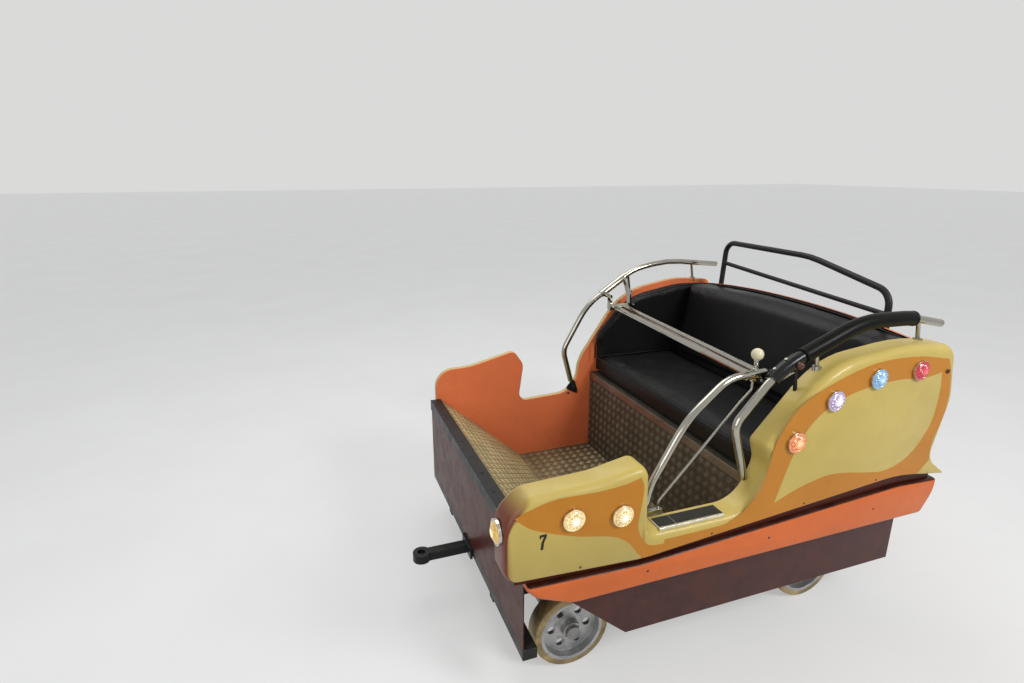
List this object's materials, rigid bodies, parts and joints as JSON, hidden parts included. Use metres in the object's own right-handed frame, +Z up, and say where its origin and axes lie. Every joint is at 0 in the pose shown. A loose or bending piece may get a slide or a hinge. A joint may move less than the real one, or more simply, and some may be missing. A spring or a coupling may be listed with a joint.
{
  "type": "ride car of a circular undulating track ride",
  "caption": "Open-sided ride car on wheels, with moulded side panels, a padded bench seat, grab rails, side lamps and a lap bar that swings up with its gate.",
  "frame": {"origin": "on the track surface, under the middle of the bounding box", "axes": "+X forward, +Y to the outer (boarding) side, +Z up"},
  "size_m": [1.99, 1.474, 1.325],
  "materials": {
    "black_steel": "satin black paint",
    "axle_steel": "oiled steel",
    "wheel_metal": "cast aluminium",
    "wheel_tread": "polyurethane tread",
    "tread_plate": "five-bar tread plate, worn",
    "maroon": "gloss gelcoat",
    "cream": "gloss gelcoat with painted fields",
    "coral": "gloss gelcoat",
    "vinyl": "black upholstery vinyl",
    "foam": "black foam sleeve",
    "edge_metal": "worn edge strip",
    "anti_slip": "black tread in a bright frame",
    "chrome": "polished",
    "knob_white": "gloss",
    "bezel": "polished",
    "lens_warm": "ribbed lens, lit",
    "lens_orange": "ribbed lens, lit",
    "lens_white": "ribbed lens, lit",
    "lens_blue": "ribbed lens, lit",
    "lens_red": "ribbed lens, lit",
    "lens_nose": "ribbed lens, lit"
  },
  "bodies": {
    "car": {"chassis_frame": "black_steel", "front_axle": "axle_steel", "rear_axle": "axle_steel", "drawbar": "black_steel", "rear_clevis": "black_steel", "arm_bracket": "black_steel", "floor_plate": "tread_plate", "foot_board": "tread_plate", "front_beam": "black_steel", "front_panel": "maroon", "outer_panel": "cream", "outer_liner": "coral", "inner_panel": "coral", "outer_skirt": "coral", "inner_skirt": "coral", "waist_band": "maroon", "seat_box": "tread_plate", "seat_edge": "edge_metal", "seat_cushion": "vinyl", "backrest_pad": "vinyl", "side_pads": "vinyl", "backrest_shell": "coral", "rear_guard": "black_steel", "sill_tread": "anti_slip", "outer_rail": "chrome", "rail_sleeve": "foam", "inner_rail": "chrome", "rail_brackets": "black_steel", "hinge_clamp": "chrome", "latch_housing": "black_steel", "lamp_bezels": "bezel", "lens_warm": "lens_warm", "lens_orange": "lens_orange", "lens_white": "lens_white", "lens_blue": "lens_blue", "lens_red": "lens_red", "lens_nose": "lens_nose"},
    "wheel_front_outer": {"rim_front_outer": "wheel_metal", "tyre_front_outer": "wheel_tread"},
    "wheel_front_inner": {"rim_front_inner": "wheel_metal", "tyre_front_inner": "wheel_tread"},
    "wheel_rear_outer": {"rim_rear_outer": "wheel_metal", "tyre_rear_outer": "wheel_tread"},
    "wheel_rear_inner": {"rim_rear_inner": "wheel_metal", "tyre_rear_inner": "wheel_tread"},
    "gate": {"lap_bar": "chrome", "gate_tube": "chrome", "gate_rod": "chrome", "latch_knob": "knob_white"}
  },
  "joints": [
    {"name": "wheel_front_outer_spin", "type": "hinge", "parent": "car", "child": "wheel_front_outer", "pos_m": [0.54, 0.48, 0.14], "axis": [0, 1, 0], "continuous": true},
    {"name": "wheel_front_inner_spin", "type": "hinge", "parent": "car", "child": "wheel_front_inner", "pos_m": [0.54, -0.48, 0.14], "axis": [0, 1, 0], "continuous": true},
    {"name": "wheel_rear_outer_spin", "type": "hinge", "parent": "car", "child": "wheel_rear_outer", "pos_m": [-0.5, 0.48, 0.14], "axis": [0, 1, 0], "continuous": true},
    {"name": "wheel_rear_inner_spin", "type": "hinge", "parent": "car", "child": "wheel_rear_inner", "pos_m": [-0.5, -0.48, 0.14], "axis": [0, 1, 0], "continuous": true},
    {"name": "gate_lift", "type": "hinge", "parent": "car", "child": "gate", "pos_m": [-0.212, -0.568, 1.002], "axis": [1, 0, 0], "range_deg": [0, 78]}
  ]
}
